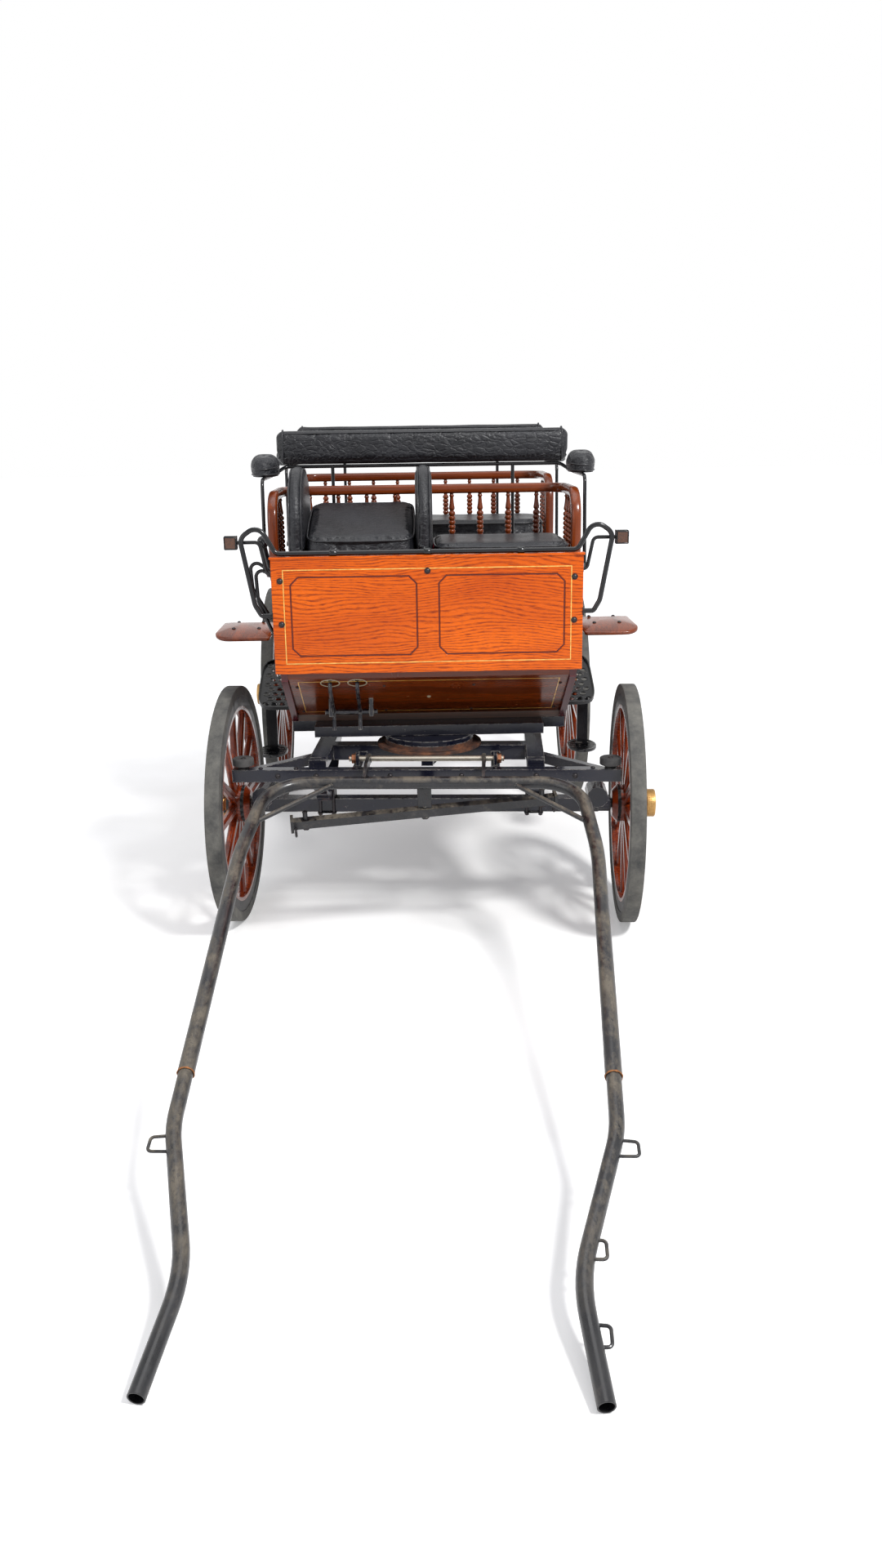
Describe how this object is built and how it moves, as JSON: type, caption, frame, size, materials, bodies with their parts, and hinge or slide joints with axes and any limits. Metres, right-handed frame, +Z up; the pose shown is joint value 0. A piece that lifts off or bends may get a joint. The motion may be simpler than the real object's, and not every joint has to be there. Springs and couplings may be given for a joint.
{
  "type": "horse drawn carriage",
  "caption": "Four-seat wooden leisure carriage with spoked wheels, a turntable fore-carriage, swingletree and steel shafts resting on the ground.",
  "frame": {"origin": "on the ground, under the middle of the length and width", "axes": "-Y is the way the carriage is drawn, +X its left side, +Z up"},
  "size_m": [1.6112, 4.5775, 1.7293],
  "materials": {
    "navy_paint": "gloss navy-black paint, chipped at the edges",
    "black_paint": "gloss black paint",
    "worn_black_steel": "black paint worn to dull grey-brown steel",
    "spring_steel": "dark paint with rust at the leaf ends",
    "rusty_steel": "dark paint with brown rust",
    "bright_steel": "pale zinced steel",
    "orange_varnish": "open-grained wood under orange-brown gloss varnish",
    "mahogany_varnish": "red-brown mahogany under gloss varnish",
    "floor_wood": "plain dark boards",
    "wine_red_paint": "wood painted wine red with gold lines",
    "black_leather": "grained black leather",
    "tyre_rubber": "dusty grey-black rubber",
    "block_rubber": "dusty black rubber",
    "brass": "knurled brass",
    "amber_lens": "amber plastic"
  },
  "bodies": {
    "body": {"chassis_frame": "navy_paint", "turntable_upper": "navy_paint", "floor": "floor_wood", "toe_board": "mahogany_varnish", "dash_panel": "orange_varnish", "body_side_left": "wine_red_paint", "body_side_right": "wine_red_paint", "seat_boxes": "wine_red_paint", "tail_panel": "orange_varnish", "seat_boards": "wine_red_paint", "front_gallery": "mahogany_varnish", "rear_gallery": "mahogany_varnish", "passenger_cushion": "black_leather", "rear_cushion": "black_leather", "driver_cushion": "black_leather", "driver_bolsters": "black_leather", "lazybacks": "black_leather", "back_irons": "black_paint", "arm_pads": "black_leather", "rein_rail": "black_paint", "lamp_brackets": "black_paint", "lamps": "black_paint", "lamp_lenses": "amber_lens", "brake_lever": "black_paint", "brake_quadrant": "black_paint", "brake_pedals": "black_paint", "fender_boards": "mahogany_varnish", "fender_brackets": "navy_paint", "side_steps": "black_paint", "rear_springs": "spring_steel", "rear_axle": "navy_paint"},
    "fore_carriage": {"turntable_lower": "rusty_steel", "fore_frame": "navy_paint", "splinter_bar": "navy_paint", "roller_bolts": "block_rubber", "front_axle": "navy_paint", "front_springs": "spring_steel", "shaft_pivot_rod": "bright_steel"},
    "shafts": {"shafts": "worn_black_steel"},
    "swingletree": {"swingletree": "worn_black_steel"},
    "wheel_front_left": {"tyre_front_left": "tyre_rubber", "wheel_front_left": "mahogany_varnish", "hub_cap_front_left": "brass"},
    "wheel_front_right": {"tyre_front_right": "tyre_rubber", "wheel_front_right": "mahogany_varnish", "hub_cap_front_right": "brass"},
    "wheel_rear_left": {"tyre_rear_left": "tyre_rubber", "wheel_rear_left": "mahogany_varnish", "hub_cap_rear_left": "brass"},
    "wheel_rear_right": {"tyre_rear_right": "tyre_rubber", "wheel_rear_right": "mahogany_varnish", "hub_cap_rear_right": "brass"}
  },
  "joints": [
    {"name": "steering", "type": "hinge", "parent": "body", "child": "fore_carriage", "pos_m": [0, 0.175, 0.66], "axis": [0, 0, 1], "range_deg": [-18.4, 25.6]},
    {"name": "shaft_lift", "type": "hinge", "parent": "fore_carriage", "child": "shafts", "pos_m": [-0.01287, -0.02959, 0.646], "axis": [-0.998, 0.0628, 0], "range_deg": [0, 45]},
    {"name": "swingletree_swing", "type": "hinge", "parent": "shafts", "child": "swingletree", "pos_m": [-0.02193, -0.17354, 0.50231], "axis": [-0.0173, -0.2742, 0.9615], "range_deg": [-22, 2]},
    {"name": "roll_front_left", "type": "hinge", "parent": "fore_carriage", "child": "wheel_front_left", "pos_m": [0.69862, 0.13105, 0.425], "axis": [0.998, -0.0628, 0], "continuous": true},
    {"name": "roll_front_right", "type": "hinge", "parent": "fore_carriage", "child": "wheel_front_right", "pos_m": [-0.69862, 0.21895, 0.425], "axis": [0.998, -0.0628, 0], "continuous": true},
    {"name": "roll_rear_left", "type": "hinge", "parent": "body", "child": "wheel_rear_left", "pos_m": [0.7, 1.775, 0.5], "axis": [1, 0, 0], "continuous": true},
    {"name": "roll_rear_right", "type": "hinge", "parent": "body", "child": "wheel_rear_right", "pos_m": [-0.7, 1.775, 0.5], "axis": [1, 0, 0], "continuous": true}
  ]
}
